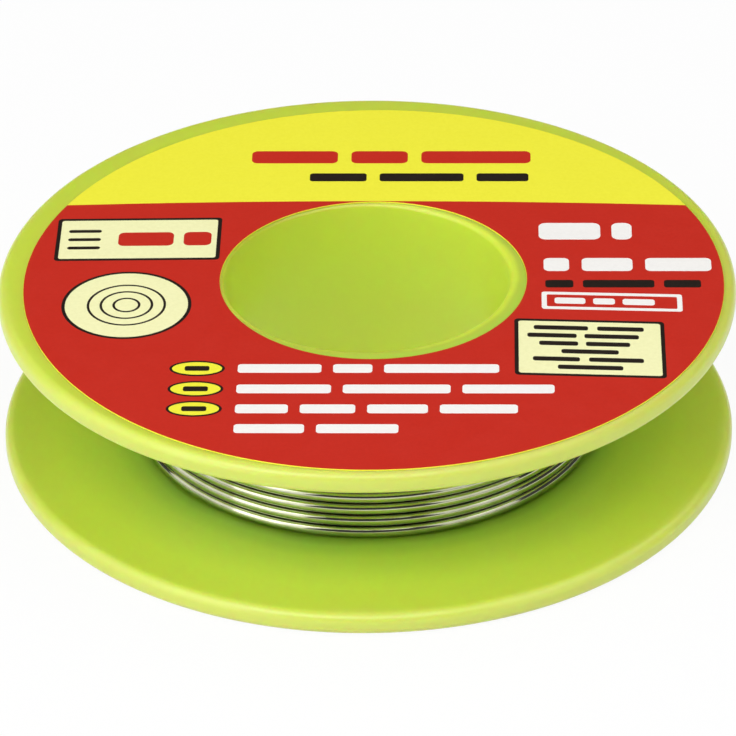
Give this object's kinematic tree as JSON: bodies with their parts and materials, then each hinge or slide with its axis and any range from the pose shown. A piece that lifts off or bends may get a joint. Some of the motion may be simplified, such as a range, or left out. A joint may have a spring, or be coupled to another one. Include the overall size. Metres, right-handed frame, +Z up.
{
  "type": "solder wire spool",
  "caption": "Low round plastic spool with rounded flanges and a wide through bore, closely wound with solder wire, with a printed paper ring label on its upper flange",
  "frame": {"origin": "Centre of the lower flange's outer face, on the spool's axis and in the plane that it stands on", "axes": "+Z runs up along the spool's axis from the lower flange to the labelled upper flange. +X is to the right as the label is read, and +Y is away from the reader"},
  "size_m": [0.058, 0.058, 0.0146],
  "materials": {
    "spool_plastic": "glossy injection-moulded polystyrene, yellow-green",
    "label_paper": "glossy printed self-adhesive paper, red with a yellow field",
    "solder": "bright drawn tin alloy wire, nearly mirror-like along its length",
    "flux": "amber rosin, seen only at the wire's cut end"
  },
  "bodies": {
    "root": {"upper_flange_with_hub": "spool_plastic", "lower_flange": "spool_plastic", "label": "label_paper", "wire_inner_layers": "solder", "wire_outer_layer": "solder", "wire_free_end": "solder", "flux_core": "flux"}
  },
  "joints": []
}
